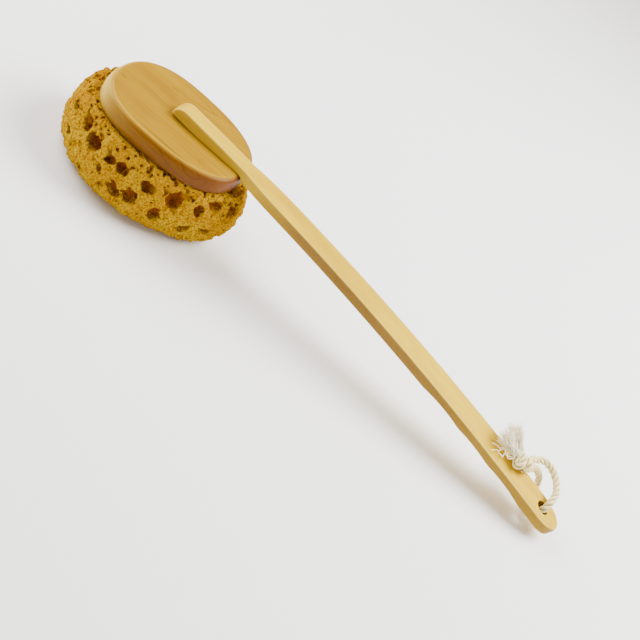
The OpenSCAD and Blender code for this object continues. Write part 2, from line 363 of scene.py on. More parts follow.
def wood(name, pale, dark, side, edge, lean=0.0, lines=0.3, coat=0.1, flecks=()):
    """Lacquered hardwood with its grain along X, leaning down by lean radians towards the tip.

    The attribute side says how much each vertex takes of the colour side, a painted shade of the walls;
    the attribute edge says how much it takes of the colour edge, a painted highlight that on the handle
    is partly rubbed wear too.
    Each fleck is a small dark mark: its place in millimetres, and how many it is long and wide.
    """
    n = Nodes(name)
    turn = (0, -lean, 0)
    mottle = n.noise(n.place((14, 60, 50), turn), detail=3, roughness=0.6)
    fibres = n.noise(n.place((45, 1500, 1300), turn), detail=3, roughness=0.65)
    slow = n.noise(n.place((2.2, 34, 34), turn), detail=1.5, distortion=0.15)
    rings = n.math("PINGPONG", n.math("MULTIPLY", slow, 11.0), 0.5)
    ring = n.span(rings, 0.0, 0.09, 1.0, 0.0)
    pale_ring = n.span(rings, 0.42, 0.5)
    seen = n.span(n.noise(n.place((11, 50, 50), turn), detail=1), 0.4, 0.6)
    colour = n.mix(n.span(mottle, 0.34, 0.66), dark, pale)
    shade = n.mix(1.0, colour, dark, "MULTIPLY")
    colour = n.mix(n.math("MULTIPLY", n.math("MULTIPLY", ring, seen), lines), colour, shade)
    colour = n.mix(n.math("MULTIPLY", n.math("MULTIPLY", pale_ring, seen), 0.5), colour, pale)
    colour = n.mix(n.span(fibres, 0.5, 0.72, 0.0, 0.6 * lines), colour, shade)
    for place, long, wide in flecks:
        from_centre = n.add("ShaderNodeVectorMath", {
            0: n.add("ShaderNodeTexCoord").outputs["Object"], 1: tuple(-MM * v for v in place)},
            operation="ADD").outputs[0]
        stretched = n.add("ShaderNodeMapping", {
            "Vector": from_centre, "Scale": (2 / (long * MM), 2 / (wide * MM), 0)}).outputs[0]
        far = n.add("ShaderNodeVectorMath", {0: stretched}, operation="LENGTH").outputs["Value"]
        colour = n.mix(n.span(far, 0.2, 1.0, 0.75, 0.0), colour, n.mix(1.0, shade, dark, "MULTIPLY"))
    # Painted shade: the walls darker and redder, as they face away from the lamps, and darker still in
    # random patches
    wall = n.mix(1.0, colour, side, "MULTIPLY")
    darker_wall = n.mix(1.0, wall, side, "MULTIPLY")
    wall = n.mix(n.math("MULTIPLY", n.span(slow, 0.42, 0.62), 0.5), wall, darker_wall)
    colour = n.mix(n.value_of("side"), colour, wall)
    # Painted highlight along the edges; on the handle it is partly rubbed wear too
    colour = n.mix(n.value_of("edge"), colour, edge)
    n.set(Base_Color=colour, Normal=n.bump(fibres, 0.00005, 0.4))
    n.set(Roughness=n.span(mottle, 0.3, 0.7, 0.42, 0.55))
    n.set(Specular_IOR_Level=0.14, Specular_Tint=(1, 0.72, 0.25, 1))
    n.set(Coat_Weight=coat, Coat_Roughness=0.28, Coat_IOR=1.5)
    return n.material


def sponge_material():
    """Open-pored natural sponge: golden grains on the skin, with painted shade in the gaps between
    grains, in the band under the paddle and in the pores.
    """
    n = Nodes("sponge_ochre")
    patches = n.noise(n.place((45, 45, 45)), detail=3)
    at = n.place((720, 720, 720))
    stir = n.add("ShaderNodeTexNoise", {"Vector": at, "Scale": 0.9, "Detail": 2.0}).outputs["Color"]
    stirred = n.add("ShaderNodeVectorMath", {
        0: stir, 1: (0.55, 0.55, 0.55), 2: at}, operation="MULTIPLY_ADD").outputs[0]
    cells = n.add("ShaderNodeTexVoronoi", {"Vector": stirred, "Scale": 1.0})
    away = cells.outputs["Distance"]
    grain = n.noise(n.place((1500, 1500, 1500)), detail=3, roughness=0.65)
    skin = n.mix(n.span(patches, 0.35, 0.65), rgb(0.41, 0.225, 0.0), rgb(0.5, 0.335, 0.0))
    # Painted shade in the gaps between the grains, where the bump sinks
    skin = n.mix(n.span(away, 0.38, 0.7, 0.0, 0.85), skin, rgb(0.24, 0.085, 0.001))
    # Darker where the fine grain sinks: random grain tone and painted shade
    skin = n.mix(n.span(grain, 0.4, 0.62, 0.4, 0.0), skin, rgb(0.3, 0.13, 0.001))
    # Painted shade on the band under the paddle
    skin = n.mix(n.span(n.value_of("band"), 0.0, 1.0, 0.0, 0.35), skin, rgb(0.34, 0.15, 0.001))
    # Painted shade in the pores, darker the deeper they reach under the outer form
    colour = n.mix(n.span(n.value_of("depth"), 0.8, 5.2), skin, rgb(0.2, 0.055, 0.005))
    relief = n.math("ADD", n.math("MULTIPLY", away, -1.0), n.math("MULTIPLY", grain, 0.5))
    n.set(Base_Color=colour, Normal=n.bump(relief, 0.001, 0.8))
    n.set(Roughness=0.95, Specular_IOR_Level=0.0)
    return n.material


def rope_material(name, pale, shade, deep, soft=0.15):
    """Soft twisted cotton, with fine lint. The attribute groove is 1 down between the strands, where the
    rope takes the colour deep, a painted shade; on the cut fibres it only sets a random darker tone for
    each lock.
    """
    n = Nodes(name)
    lint = n.noise(n.place((1500, 1500, 1500)), detail=3, roughness=0.7)
    patches = n.noise(n.place((260, 260, 260)), detail=2)
    colour = n.mix(n.span(patches, 0.35, 0.7), shade, pale)
    # Painted shade down between the strands
    colour = n.mix(n.span(n.value_of("groove"), 0.05, 0.9, 0.0, 0.95), colour, deep)
    colour = n.mix(n.span(lint, 0.55, 0.75, 0.0, 0.35), colour, shade)
    n.set(Base_Color=colour, Roughness=0.95, Normal=n.bump(lint, 0.0004, 0.8))
    n.set(Specular_IOR_Level=0.1, Subsurface_Weight=soft, Subsurface_Radius=(0.002, 0.0015, 0.001))
    return n.material


def glue_material():
    n = Nodes("clear_glue")
    cloud = n.noise(n.place((300, 300, 300)), detail=2)
    n.set(Base_Color=n.mix(cloud, rgb(0.3, 0.15, 0.02), rgb(0.42, 0.24, 0.04)), Roughness=0.12)
    n.set(Coat_Weight=0.8, Coat_Roughness=0.05)
    return n.material


def steel_material():
    n = Nodes("zinc_steel")
    turning = n.noise(n.place((900, 900, 5000)), detail=2)
    n.set(Base_Color=n.mix(turning, rgb(0.5, 0.5, 0.52), rgb(0.7, 0.7, 0.72)))
    n.set(Roughness=n.span(turning, 0.3, 0.7, 0.28, 0.42))
    n.set(Metallic=1.0)
    return n.material


# The fourth colour is the walls' painted shade, the fifth the edges' painted highlight
handle_wood = wood(
    "handle_wood", rgb(0.62, 0.405, 0.006), rgb(0.49, 0.3, 0.004), rgb(0.42, 0.36, 3.2),
    rgb(0.62, 0.43, 0.05), lean=0.15, lines=0.2, coat=0.04)
paddle_wood = wood(
    "paddle_wood", rgb(0.31, 0.168, 0.001), rgb(0.25, 0.125, 0.001), rgb(0.5, 0.285, 2.4),
    rgb(0.48, 0.31, 0.02), lines=0.36, coat=0.08, flecks=PADDLE_FLECKS)
sponge_look = sponge_material()
# Its last colour is the painted shade between the strands
rope_look = rope_material(
    "rope_cotton", rgb(0.95, 0.87, 0.5), rgb(0.86, 0.73, 0.33), rgb(0.3, 0.18, 0.05))
fibre_look = rope_material(
    "rope_cut_fibres", rgb(1.0, 0.95, 0.76), rgb(0.95, 0.88, 0.63), rgb(0.6, 0.45, 0.22), soft=0.5)
glue_look = glue_material()
steel_look = steel_material()

# ---- hanging loop ----

# Route from the knot over the grip's edge, through the hole and back, in the hole's own frame
ROUTE = [
    (-31.5, 9.8, 10.8), (-28.5, 14.3, 10.7), (-27, 18.3, 10.6), (-23.5, 22.5, 10.5), (-19.5, 26, 11.5),
    (-14.5, 27.5, 12), (-9, 27, 12), (-4.5, 24, 12), (-1, 19.5, 11.5), (1, 14.5, 11),
    (1.5, 9.5, 10), (1.5, 4, 8), (1.5, 1.3, 5), (1.5, 0, 0), (1.5, 1.3, -5), (1.5, 4, -8),
    (1.5, 9.5, -10), (0.5, 14.5, -9.5), (-1.5, 19.5, -8), (-4.5, 23.5, -5), (-8, 25.5, -1),
    (-12, 24.5, 2.5), (-17, 21.5, 5.5), (-22, 16.5, 7.5), (-25.5, 10.5, 8), (-28, 6, 8.3),
    (-31, 2.5, 8.6)
]
LAY_LENGTH = 14
STRANDS = 3
# Each strand's distance out and its radius, as shares of the rope's radius
STRAND_OUT, STRAND_R = 0.57, 0.54
STRAND_SIDES = 18
# The groove's shade fades out over GROOVE_SPAN of the rope's radius, from GROOVE_IN
GROOVE_IN, GROOVE_SPAN = 0.64, 0.42


def strand_lines(line, radius, phase=0.0):
    """The centre lines of the rope's strands, wound about its own centre line."""
    _, normal, binormal = carried_frame(line)
    for k in range(STRANDS):
        angle = 2 * math.pi * (travelled(line) / LAY_LENGTH + k / STRANDS) + phase
        yield line + STRAND_OUT * radius * (
            np.cos(angle)[:, None] * normal + np.sin(angle)[:, None] * binormal)


def add_rope(sheets, line, radius, phase=0.0):
    """A laid rope: three fat strands, each with ridges of yarn that turn the other way."""
    line = even(line, 0.5)
    centre = np.repeat(line, STRAND_SIDES, axis=0)
    for strand in strand_lines(line, radius, phase):
        verts, faces = tube(
            strand, STRAND_R * radius, STRAND_SIDES, ridges=6, ridge_depth=0.06, ridge_turn=-0.5)
        out = np.linalg.norm(verts[:-2] - centre, axis=1) / radius
        # Painted shade: the groove value rises towards the rope's centre line
        groove = np.append(1 - smooth((out - GROOVE_IN) / GROOVE_SPAN), [1, 1])
        sheets.add(verts, faces, groove=groove)


def make_hang_rope():
    line = at_hole(curve(ROUTE, 10))
    sheets = Sheets()
    add_rope(sheets, line, ROPE_R)
    return sheets.piece("hang_rope_laid", rope_look, "hang_loop", "hang_rope", "rope"), line


KNOT_AT = (-35, 4, 9.8)
KNOT_TURN = math.radians(15)
# The wrap's first and last turn, and the share of a turn in which it slips in or out
WRAP_FROM, WRAP_TO, WRAP_SLIP = -0.35, 1.55, 0.35
WRAP_R, LEG_R = 2.4, 2.25


def at_knot(points):
    """Points of the knot's own frame: along the loop, across it, up."""
    x, y, z = np.asarray(points, float).T
    c, s = math.cos(KNOT_TURN), math.sin(KNOT_TURN)
    return at_hole(np.stack([c * x - s * y, s * x + c * y, z], axis=1) + KNOT_AT)


def make_knot():
    """An overhand knot: both legs run through it, and one is wrapped round the two."""
    sheets = Sheets()
    turn = np.linspace(WRAP_FROM, WRAP_TO, 70)
    grow = smooth((turn - WRAP_FROM) / WRAP_SLIP) * smooth((WRAP_TO - turn) / WRAP_SLIP)
    wrap = np.stack([
        5.0 - 6.4 * (turn - WRAP_FROM) + 1.5 * np.cos(2 * math.pi * turn),
        (1.3 + 3.6 * grow) * np.sin(2 * math.pi * turn),
        (0.8 + 2.35 * grow) * np.cos(2 * math.pi * turn)
    ], axis=1)
    add_rope(sheets, at_knot(wrap), WRAP_R)
    for side in (-1, 1):
        leg = curve([(7.2, 1.9 * side, 0.3), (2.5, 1.6 * side, 0.2), (-2.5, 1.5 * side, -0.2),
                     (-7, 2.0 * side, 0.3)], 8)
        add_rope(sheets, at_knot(leg), LEG_R, phase=side)
    return sheets.piece("rope_knot_laid", rope_look, "hang_loop", "rope_knot", "rope")


# Root and end of each tail, in the hole's own frame
TAILS = [((-38.5, 2, 10), (-61.5, 4, 13)), ((-38.5, 5, 11), (-56, 17, 15.5))]
LOCKS, LOCK_FIBRES = 14, 17
# No fibre goes lower, so that they stay over the grip's top face
TAILS_LOW = 4.6
# A few long fibres that lie down on the grip
STRAYS = [
    [(-40, 0, 9), (-46, 1, 7.5), (-51, -1.5, 7), (-54, -6, 6.2), (-58, -11, 5.6)],
    [(-40, 0, 8.5), (-46, -1.5, 7.2), (-51, 0, 6.6), (-55, -3, 6.2), (-60, -5, 5.6)],
    [(-40, 0, 9), (-44, -3, 8), (-48, -2.5, 7), (-49, -6.5, 6), (-53, -6, 5.6)],
]
STRAY_R = 0.27


def make_tails(rng):
    """The rope's two ends past the knot, opened into locks of cut fibres."""
    sheets = Sheets()
    t = np.linspace(0, 1, 11)
    radius = np.interp(t, [0, 0.3, 1], [0.42, 0.3, 0.14])
    for (root, end), (_, other) in zip(TAILS, TAILS[::-1]):
        root, end = np.array(root, float), np.array(end, float)
        for lock in range(LOCKS):
            aim = end + (np.array(other) - end) * 0.6 * max(0, rng.uniform(-1, 1))
            ahead = unit(aim - root)
            across = unit(np.cross([0, 0, 1], ahead))
            up = np.cross(ahead, across)
            reach = np.linalg.norm(aim - root) * rng.uniform(0.72, 1.06)
            angle = 2 * math.pi * (lock + rng.uniform(0, 0.8)) / LOCKS
            wide = 2.2 * math.sqrt(rng.uniform(0.05, 1))
            spread = 1 + rng.uniform(1.0, 2.6) * smooth(t) * t
            curl = rng.normal(0, 1.5, (2, 2))
            tone = rng.uniform(0, 0.7) ** 2
            for _ in range(LOCK_FIBRES):
                side, lift = rng.normal(0, 0.3, 2) + wide * np.array([math.cos(angle), math.sin(angle)])
                own = curl + rng.normal(0, 0.55, (2, 2))
                y = spread * side + own[0, 0] * t**2 + 0.4 * own[0, 1] * np.sin(9 * t)
                z = spread * lift + own[1, 0] * t**2 + 0.4 * own[1, 1] * np.sin(8 * t)
                length = reach * rng.uniform(0.86, 1.06)
                line = root + np.outer(t * length, ahead) + np.outer(y, across) + np.outer(z * 0.85, up)
                line[:, 2] = np.maximum(line[:, 2], TAILS_LOW)
                verts, faces = tube(at_hole(line), radius, 5)
                sheets.add(verts, faces, groove=tone + rng.uniform(0, 0.15))
    for stray in STRAYS:
        line = curve(stray, 10)
        wave = np.linspace(0, 5 * math.pi, len(line))
        line += np.stack([0 * wave, 0.9 * np.sin(wave), 0.5 - 0.5 * np.cos(1.3 * wave)], axis=1)
        verts, faces = tube(at_hole(line), STRAY_R, 6)
        sheets.add(verts, faces, groove=0.0)
    return sheets.piece("rope_tails_frayed", fibre_look, "hang_loop", "rope_tails", "rope")


hang_rope, rope_line = make_hang_rope()
rope_knot = make_knot()
rope_tails = make_tails(np.random.default_rng(7))
travelled(rope_line)[-1] * MM
even(rope_line, 2) * MM

# ---- handle ----


def top_of(x):
    """Height of the handle's top face, rounded down at the head end."""
    x = np.asarray(x, float)
    arc = BEND_Z + np.sqrt(BEND_R**2 - (x - BEND_X) ** 2)
    short = np.clip((TONGUE_X + HEAD_RISE - x) / HEAD_RISE, 0, 0.995)
    return TONGUE_Z + (arc - TONGUE_Z) * np.sqrt(1 - short**2)


NOTCH_X = PADDLE_END_X + 0.3
INNER_R = BEND_R - STOCK
GROOVE_CENTRES = []
for groove_x in GROOVES_X:
    lean = math.asin((groove_x - BEND_X) / INNER_R)
    reach = INNER_R - GROOVE_R + GROOVE_DEPTH
    GROOVE_CENTRES.append((BEND_X + reach * math.sin(lean), BEND_Z + reach * math.cos(lean)))


def under_of(x):
    """Height of the handle's underside: flat on the paddle, then the bend, grooves and rounded tip."""
    x = np.asarray(x, float)
    z = BEND_Z + np.sqrt(INNER_R**2 - (x - BEND_X) ** 2)
    for centre_x, centre_z in GROOVE_CENTRES:
        inside = np.clip(GROOVE_R**2 - (x - centre_x) ** 2, 0, None)
        z = np.maximum(z, np.where(inside > 0, centre_z + np.sqrt(inside), -1e3))
    past_hole = (x - HOLE_MID[0]) / ALONG[0] - STOCK / 2 * ALONG[2]
    past = np.clip(past_hole - (TIP_REACH - TIP_ROUND), 0, 0.98 * TIP_ROUND)
    z = z + (TIP_ROUND - np.sqrt(TIP_ROUND**2 - past**2))
    lap = np.clip(x - (NOTCH_X - SHOULDER_IN), 0, SHOULDER_IN)
    shelf = TONGUE_Z - SHOULDER_IN + np.sqrt(SHOULDER_IN**2 - lap**2)
    return np.where(x < NOTCH_X - 0.1, np.maximum(shelf, z), z)


def half_width(x):
    """Half the handle's width between its rounded head end and its rounded tip."""
    tongue = np.interp(x, [TONGUE_X, PADDLE_END_X], [TONGUE_W, TONGUE_W + TONGUE_WIDENS])
    t = np.clip((x - PADDLE_END_X) / FLARE_L, 0, 1)
    flare = NECK_W - (NECK_W - TONGUE_W - TONGUE_WIDENS) * (1 - t) ** 2.5
    grip = np.interp(x, [PADDLE_END_X + FLARE_L, GRIP_X], [NECK_W, GRIP_W])
    return 0.5 * np.where(x < PADDLE_END_X, tongue, np.where(t < 1, flare, grip))


HEAD_ROUND, HEAD_POWER = 5, 5
EDGE_TOP = 0.9
CROWN = 0.25
# Columns of quads on a broad face, and those that the hole's round patch takes up
COLUMNS = 12
HOLE_LEFT, HOLE_RIGHT = 2, COLUMNS - 2
HOLE_RIM = 0.6
ARC_STEPS = 5


def edge_under(x):
    """Rounding of the lower long edges: nearly sharp where the tongue sits on the paddle."""
    return float(np.interp(x, [NOTCH_X - 1, NOTCH_X + 8], [0.25, 1.3]))


def handle_rungs():
    """Places along the handle, each as a function of the inset from its outline: x and half width."""
    rungs = []

    def head(a):
        c, s = math.cos(a) ** (2 / HEAD_POWER), math.sin(a) ** (2 / HEAD_POWER)
        return lambda d: (TONGUE_X + HEAD_ROUND - (HEAD_ROUND - d) * c, (TONGUE_W / 2 - d) * s)

    def body(x):
        return lambda d: (x, float(half_width(x)) - d)

    def tip(a):
        return lambda d: (HOLE_X + (TIP_REACH - d) * math.cos(a), (GRIP_W / 2 - d) * math.sin(a))

    rungs += [head(a) for a in np.radians([0, 2, 7, 14, 22, 31, 41, 52, 63, 74, 83])]
    places = np.concatenate([
        np.arange(TONGUE_X + HEAD_ROUND, NOTCH_X - 4.5, 2.0),
        NOTCH_X - 4.2 + np.array([0, 0.6, 1.2, 1.8, 2.4, 2.9, 3.3, 3.6, 3.85, 4.0, 4.08, 4.11, 4.2, 5]),
        np.arange(NOTCH_X + 2.5, HOLE_X - 11, 2.5),
        np.linspace(HOLE_X - 10, HOLE_X - 1.5, 6),
    ])
    rungs += [body(x) for x in places]
    rungs += [tip(math.radians(a)) for a in range(90, -1, -5)]
    return rungs


def slope_normal(height, x):
    """Unit normal, in the XZ plane, of a surface given by its height."""
    d = 0.05
    rise = (height(x + d) - height(x - d)) / (2 * d)
    return unit(np.array([-float(rise), 0.0, 1.0]))


def top_at(x, y):
    """Height of the top face, which falls a little towards its long edges."""
    return float(top_of(x)) - CROWN * (2 * y / GRIP_W) ** 2


def under_at(x, y):
    """Height of the underside, which is level across."""
    return float(under_of(x))


def painted_wall_shade(x):
    """How much painted shade the walls take: least on the tongue, most along the middle of the shaft."""
    return 0.38 + 0.62 * smooth((x - PADDLE_END_X) / 60) - 0.27 * smooth((x - 60) / 100)


def broad_face(shell, rungs, height, inset):
    """The top face or the underside, as a row of vertices for each rung."""
    rows = []
    for rung in rungs:
        x, w = rung(inset(rung(0)[0]))
        places = [w * (2 * c / COLUMNS - 1) for c in range(COLUMNS + 1)]
        rows.append([shell.vert([x, y, height(x, y)]) for y in places])
    return rows


def add_wall(shell, rungs, top, under, side):
    """One wall with its two long edges, from the top face's edge round to the underside's."""
    column = 0 if side < 0 else COLUMNS
    arcs = [math.pi / 2 * k / ARC_STEPS for k in range(1, ARC_STEPS + 1)]
    chains = []
    for rung, upper, lower in zip(rungs, top, under):
        x0 = rung(0)[0]
        thick = float(top_of(x0) - under_of(x0))
        low_edge = edge_under(x0)
        # The walls' painted shade at this place along the handle
        wall_shade = painted_wall_shade(x0)
        share = min(1, 0.85 * max(thick, 0.3) / (EDGE_TOP + low_edge))
        chain = [upper[column]]
        # Painted highlight along the top long edge, partly rubbed wear
        shell.edges[upper[column]] = 0.6
        for a in arcs:
            x, w = rung(EDGE_TOP * (1 - math.sin(a)))
            drop = share * EDGE_TOP * (1 - math.cos(a))
            p = np.array([x, side * w, top_at(x, w)]) - slope_normal(top_of, x) * drop
            chain.append(shell.vert(p, wall_shade * smooth(a), 1 - a / 1.6))
        high = shell.verts[chain[-1]]
        x, w = rung(0)
        low = np.array([x, side * w, under_at(x, w) + share * low_edge])
        for u in (0.25, 0.5, 0.75):
            chain.append(shell.vert(high + (low - high) * u, wall_shade))
        for a in reversed(arcs):
            x, w = rung(low_edge * (1 - math.sin(a)))
            rise = share * low_edge * (1 - math.cos(a))
            chain.append(shell.vert([x, side * w, under_at(x, w) + rise], wall_shade))
        chain.append(lower[column])
        chains.append(chain)
    shell.ladder(chains)


def add_broad_faces(shell, rungs, top, under):
    """The quads of both broad faces, and the hanging hole through them with its rounded rims."""
    places = [rung(0)[0] for rung in rungs]
    first = min(range(len(places)), key=lambda i: abs(places[i] - (HOLE_X - 10)))
    last = min(range(len(places)), key=lambda i: abs(places[i] - (HOLE_X + 9.8)))

    def in_patch(i, c):
        return first <= i < last and HOLE_LEFT <= c < HOLE_RIGHT

    rims = []
    for rows, height, sign in ((top, top_at, 1), (under, under_at, -1)):
        shell.ladder(rows, skip=in_patch)
        loop = [rows[first][c] for c in range(HOLE_LEFT, HOLE_RIGHT)]
        loop += [rows[i][HOLE_RIGHT] for i in range(first, last)]
        loop += [rows[last][c] for c in range(HOLE_RIGHT, HOLE_LEFT, -1)]
        loop += [rows[i][HOLE_LEFT] for i in range(last, first, -1)]
        centre = HOLE_MID + OUT * sign * STOCK / 2
        angles = []
        for v in loop:
            x, y = shell.verts[v][:2]
            angles.append(math.atan2(y, (x - centre[0]) / ALONG[0]))

        def ring(radius, sink=0.0):
            made = []
            for a in angles:
                p = centre + ALONG * radius * math.cos(a) + ACROSS * radius * math.sin(a)
                p[2] = height(p[0], p[1])
                # Down into the hole the wood takes the painted wall shade
                made.append(shell.vert(p - OUT * sign * sink, min(1, 3 * sink / HOLE_RIM)))
            return made

        outer = ring(HOLE_R + HOLE_RIM)
        rings = [loop]
        for share in (0.4, 0.75):
            made = []
            for v, o in zip(loop, outer):
                x, y = np.array(shell.verts[v][:2]) * (1 - share) + np.array(shell.verts[o][:2]) * share
                made.append(shell.vert([x, y, height(x, y)]))
            rings.append(made)
        rings.append(outer)
        for a in (0.4, 0.8, 1.2, math.pi / 2):
            rings.append(ring(HOLE_R + HOLE_RIM * (1 - math.sin(a)), HOLE_RIM * (1 - math.cos(a))))
        for a, b in zip(rings, rings[1:]):
            shell.strip(a, b, closed=True)
        rims.append(rings[-1])
    shell.strip(*rims, closed=True)


def make_handle():
    rungs = handle_rungs()
    shell = Shell()
    top = broad_face(shell, rungs, top_at, lambda x: EDGE_TOP)
    under = broad_face(shell, rungs, under_at, edge_under)
    for side in (-1, 1):
        add_wall(shell, rungs, top, under, side)
    add_broad_faces(shell, rungs, top, under)
    shell.piece("handle_turned", handle_wood, "handle", "handle_wood")


make_handle()

# ---- paddle ----


def egg(a, d):
    """A place on the paddle's outline at angle a, moved in by d: x and half width."""
    c, s = math.cos(a), max(math.sin(a), 0)
    reach, power = (PADDLE_NOSE, NOSE_POWER) if c < 0 else (PADDLE_HEEL, HEEL_POWER)
    x = math.copysign(reach * abs(c) ** (2 / power), c)
    w = PADDLE_HALF_W * s ** (2 / power)
    nx = math.copysign((abs(x) / reach) ** (power - 1) / reach, x)
    ny = (w / PADDLE_HALF_W) ** (power - 1) / PADDLE_HALF_W
    size = math.hypot(nx, ny)
    return PADDLE_MID_X + x - d * nx / size, w - d * ny / size


def paddle_profile():
    """Inset, height, side and edge values from the top face's rim down to the underside's."""
    rows = [(SHOULDER_IN + 0.9, BACK_Z, 0, 0.0), (SHOULDER_IN + 0.15, BACK_Z - 0.03, 0, 0.45),
            (SHOULDER_IN - 0.3, BACK_Z - 0.3, 0.05, 0.8)]
    for a in np.radians(np.arange(12, 91, 6.5)):
        inset = STEP_IN + (SHOULDER_IN - STEP_IN) * (1 - math.sin(a))
        height = BACK_Z - 0.25 - (SHOULDER_DOWN - 0.25) * (1 - math.cos(a))
        rows.append((inset, height, smooth(1.25 * math.sin(a)), 0))
    z = BACK_Z - SHOULDER_DOWN
    wall = [(STEP_IN + 0.04, z - 0.2), (STEP_IN - 0.12, z - 0.45), (0.18, z - 0.75), (0.03, z - 1.2),
            (-0.05, z - 2.4), (0, z - 4.5), (0.05, PADDLE_Z + 1.3), (0.25, PADDLE_Z + 0.6),
            (0.7, PADDLE_Z + 0.12), (1.2, PADDLE_Z)]
    return rows + [(*place, 1, 0) for place in wall]


PADDLE_STEPS, PADDLE_COLUMNS = 80, 20


def paddle_shade_and_highlight(a, side, wall, edge):
    """Side and edge values: painted wall shade, none at the nose and most at the heel; painted light on
    the nose's wall; and a painted highlight along the near edge.
    """
    to_nose = a / math.pi
    wall_shade = wall * smooth(2.2 * (0.86 - to_nose))
    wall_shade *= 0.85 + 0.15 * smooth(4 * (0.4 - to_nose))
    # Painted light on the wall round the nose
    pale = wall * smooth(4 * (to_nose - 0.62))
    # Painted highlight on the near side's rim only
    near_highlight = 0.8 * math.sin(a) * edge if side < 0 else 0.0
    return wall_shade, max(near_highlight, pale)


def make_paddle():
    angles = [math.pi * (1 - k / PADDLE_STEPS) for k in range(PADDLE_STEPS + 1)]
    shell = Shell()
    rings = {-1: [], 1: []}
    for side in (-1, 1):
        for d, z, wall, edge in paddle_profile():
            ring = []
            for a in angles:
                x, w = egg(a, d)
                ring.append(shell.vert([x, side * max(w, 0), z], *paddle_shade_and_highlight(a, side, wall, edge)))
            rings[side].append(ring)
        for upper, lower in zip(rings[side], rings[side][1:]):
            shell.strip(upper, lower)
    # The underside takes the full painted wall shade, the back none
    for level, z, wall in ((0, BACK_Z, 0), (-1, PADDLE_Z, 1)):
        rows = []
        for left, right in zip(rings[-1][level], rings[1][level]):
            x, low = shell.verts[left][:2]
            high = shell.verts[right][1]
            across = [low + (high - low) * c / PADDLE_COLUMNS for c in range(1, PADDLE_COLUMNS)]
            rows.append([left, *(shell.vert([x, y, z], wall) for y in across), right])
        shell.ladder(rows)
    shell.piece("paddle_turned", paddle_wood, "paddle", "paddle_wood")


make_paddle()

# ---- sponge ----

VOXEL = 0.5
# How far outside and inside its outline the form is worked out
OUTSIDE, INSIDE = -6, 24

# The pores that stand out, as angle round the head in degrees, height and radius
BIG_PORES = [
    (-134, 38, 4.2), (-121, 35, 5.2), (-104, 35, 3.5), (-93, 36, 4.2), (-91, 21, 4.8), (-100, 16, 2.6),
    (-79, 23, 4.8), (-72, 36, 4.2), (-51, 37, 5.4), (-58, 20, 4.3), (-33, 35, 4.1), (-22, 41, 3.8),
    (-8, 38, 3.8), (-36, 18, 3.6), (-22, 20, 3.2), (-152, 35, 3.2), (-144, 19, 2.4), (-121, 12, 2.4),
    (-156, 45, 2), (-60, 38, 1.7), (-71, 43, 1.8), (-56, 46, 1.8), (-48, 29, 1.6), (-105, 43, 1.7),
    (-116, 45, 1.6), (-127, 24, 2), (-107, 25, 1.9), (-39, 40, 1.7), (-102, 47, 1.6), (-89, 41, 1.6)
]
BIG_PORE_GROWTH = 1.22
# Random pores: how many at most, cube to each, smallest and largest radius, and lowest height
PORE_SETS = [
    (60, 15, 2.4, 4.6, 0), (340, 5.5, 0.9, 1.7, 0), (2200, 3.0, 0.75, 1.35, 33),
    (2400, 2.2, 0.5, 0.85, 0)
]
# Random pores this large are cut only on the far side or low down
LARGE_PORE, FAR_Y, LOW_Z = 2, 6, 3
# Near the paddle the pores are wider and the skin takes a painted shade
WIDER_Z, SHADED_Z, FADE = 34, 32, 8


def field_noise(rng, shape, cell):
    """Smooth random field from about -1 to 1, with features about cell voxels wide."""
    low = [int(math.ceil(n / cell)) + 3 for n in shape]
    field = rng.uniform(-1, 1, low).astype(np.float32)
    for axis, n in enumerate(shape):
        at = np.arange(n) / cell + 1
        i = at.astype(int)
        f = at - i
        weights = np.zeros((n, low[axis]), np.float32)
        for k, w in enumerate([(1 - f) ** 3 / 6, (3 * f**3 - 6 * f**2 + 4) / 6,
                               (-3 * f**3 + 3 * f**2 + 3 * f + 1) / 6, f**3 / 6]):
            weights[np.arange(n), i - 1 + k] = w
        field = np.moveaxis(np.tensordot(weights, field, (1, axis)), 0, axis)
    return field * 2.4


def sponge_form():
    """Signed distance to the sponge's outer form on a grid, and the grid's lowest corner."""
    low = np.array([SPONGE_WIDE - SPONGE_NOSE - 3, -SPONGE_HALF_W - 3, -1.8])
    high = np.array([SPONGE_WIDE + SPONGE_HEEL + 3, SPONGE_HALF_W + 3, SPONGE_H + 3])
    axes = [np.arange(a, b, VOXEL) for a, b in zip(low, high)]
    along = axes[0] - SPONGE_WIDE
    reach = np.where(along < 0, SPONGE_NOSE, SPONGE_HEEL)
    x, y = np.meshgrid(along / reach, axes[1] / SPONGE_HALF_W, indexing="ij")
    p = SPONGE_POWER
    rho = np.maximum((np.abs(x) ** p + np.abs(y) ** p) ** (1 / p), 1e-3)
    steep = np.hypot(
        (np.abs(x) / rho) ** (p - 1) / reach[:, None], (np.abs(y) / rho) ** (p - 1) / SPONGE_HALF_W)
    inward = np.clip((1 - rho) / np.maximum(steep, 1e-6), OUTSIDE, INSIDE)

    profile = curve([(d, h * SPONGE_H, 0) for d, h in SPONGE_PROFILE], 8)[:, :2]
    profile = np.vstack([[(40, 0)], profile, [(40, SPONGE_H)]])
    q = np.linspace(OUTSIDE, INSIDE, 121)
    a, b = profile[:-1], profile[1:]
    field = np.empty([len(axis) for axis in axes], np.float32)
    for k, z in enumerate(axes[2]):
        point = np.stack([q, np.full_like(q, z)], axis=1)[:, None]
        t = np.clip(((point - a) * (b - a)).sum(2) / ((b - a) ** 2).sum(1), 0, 1)
        away = np.linalg.norm(point - a - t[..., None] * (b - a), axis=2).min(1)
        inset = np.interp(z, profile[:, 1], profile[:, 0])
        inside = (q > inset) & (0 < z) & (z < SPONGE_H)
        field[:, :, k] = np.interp(inward, q, np.where(inside, -away, away))
    return field, low


